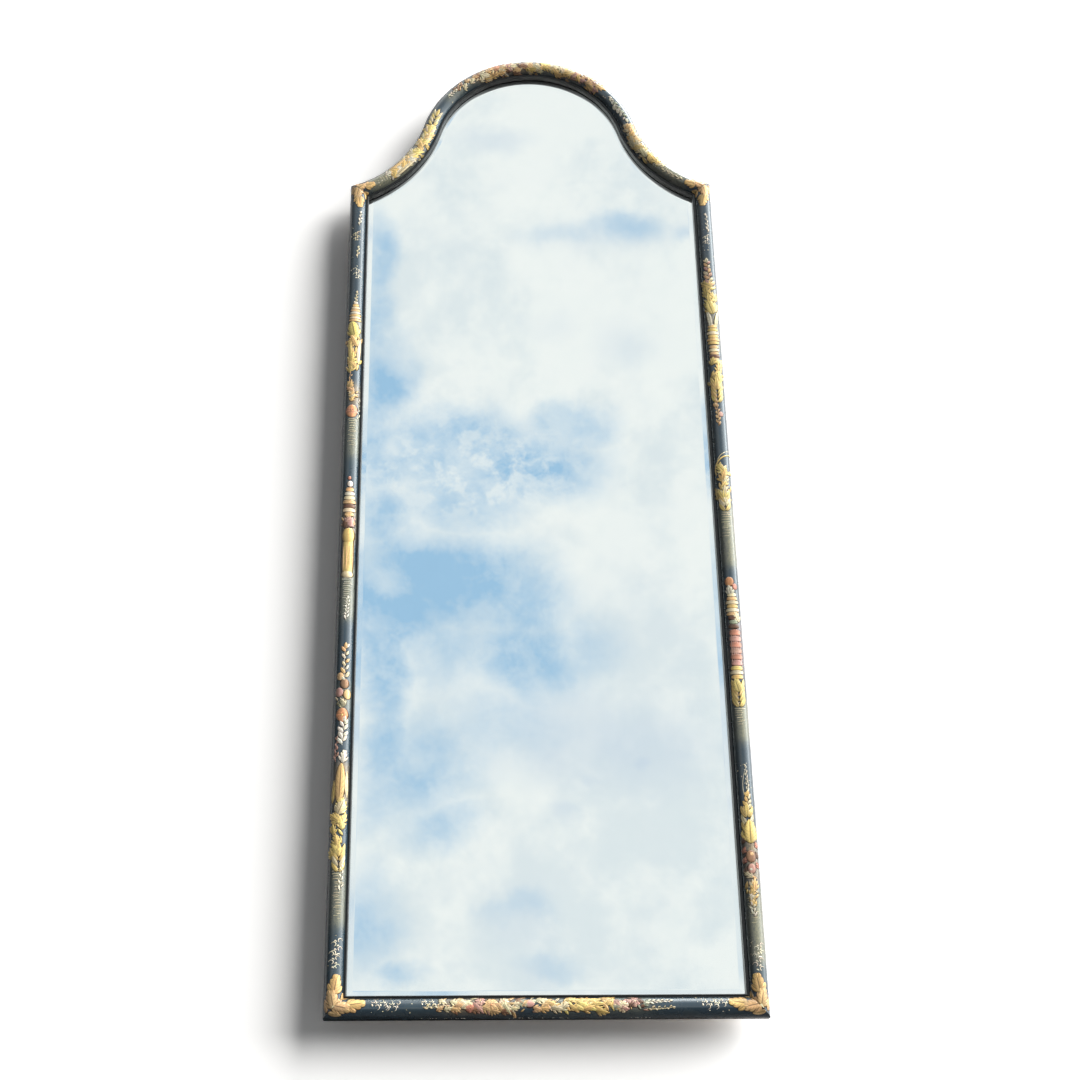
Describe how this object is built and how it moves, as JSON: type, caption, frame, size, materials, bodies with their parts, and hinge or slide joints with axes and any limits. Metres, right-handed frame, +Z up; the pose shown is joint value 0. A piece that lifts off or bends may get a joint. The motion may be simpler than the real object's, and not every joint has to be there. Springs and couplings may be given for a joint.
{
  "type": "wall mirror",
  "caption": "Tall wall mirror with an arched crown on coved shoulders, in a mitred half-round lacquered frame with a bevelled glass and ring hangers behind.",
  "frame": {"origin": "on the wall plane, midway between the two hangers' pivots", "axes": "+Z up the mirror's height; the glass faces -Y, and the wall behind it is the plane Y = 0; +X to the viewer's right"},
  "size_m": [0.6, 0.035, 1.6],
  "materials": {
    "lacquered_wood": "high gloss blue-black lacquer with raised gilt and painted sprays",
    "spline_wood": "plain, glued in",
    "mirror": "silvered plate glass with a bevelled edge",
    "pine": "plain sawn",
    "plywood": "plain plywood",
    "zinc_plated_steel": "bright zinc plate",
    "screw_steel": "zinc plated",
    "rubber": "matt"
  },
  "bodies": {
    "frame": {"stile_left": "lacquered_wood", "stile_right": "lacquered_wood", "bottom_rail": "lacquered_wood", "cove_left": "lacquered_wood", "cove_right": "lacquered_wood", "crown": "lacquered_wood", "spline_bottom_left": "spline_wood", "spline_bottom_right": "spline_wood", "spline_shoulder_left": "spline_wood", "spline_shoulder_right": "spline_wood", "spline_crown_left": "spline_wood", "spline_crown_right": "spline_wood", "mirror_glass": "mirror", "spacer_left": "pine", "spacer_right": "pine", "spacer_bottom": "pine", "arch_blocks": "pine", "backboard": "plywood", "backboard_screws": "screw_steel", "corner_plate_bottom_left": "zinc_plated_steel", "corner_plate_bottom_right": "zinc_plated_steel", "corner_plate_shoulder_left": "zinc_plated_steel", "corner_plate_shoulder_right": "zinc_plated_steel", "corner_plate_screws": "screw_steel", "hanger_strap_left": "zinc_plated_steel", "hanger_strap_right": "zinc_plated_steel", "hanger_screws": "screw_steel", "bumper_left": "rubber", "bumper_right": "rubber", "bumper_screws": "screw_steel"},
    "ring_left": {"hanger_ring_left": "zinc_plated_steel"},
    "ring_right": {"hanger_ring_right": "zinc_plated_steel"}
  },
  "joints": [
    {"name": "ring_left_swing", "type": "hinge", "parent": "frame", "child": "ring_left", "pos_m": [-0.2905, -0.004, 0], "axis": [1, 0, 0], "range_deg": [0, 180]},
    {"name": "ring_right_swing", "type": "hinge", "parent": "frame", "child": "ring_right", "pos_m": [0.2905, -0.004, 0], "axis": [1, 0, 0], "range_deg": [0, 180]}
  ]
}
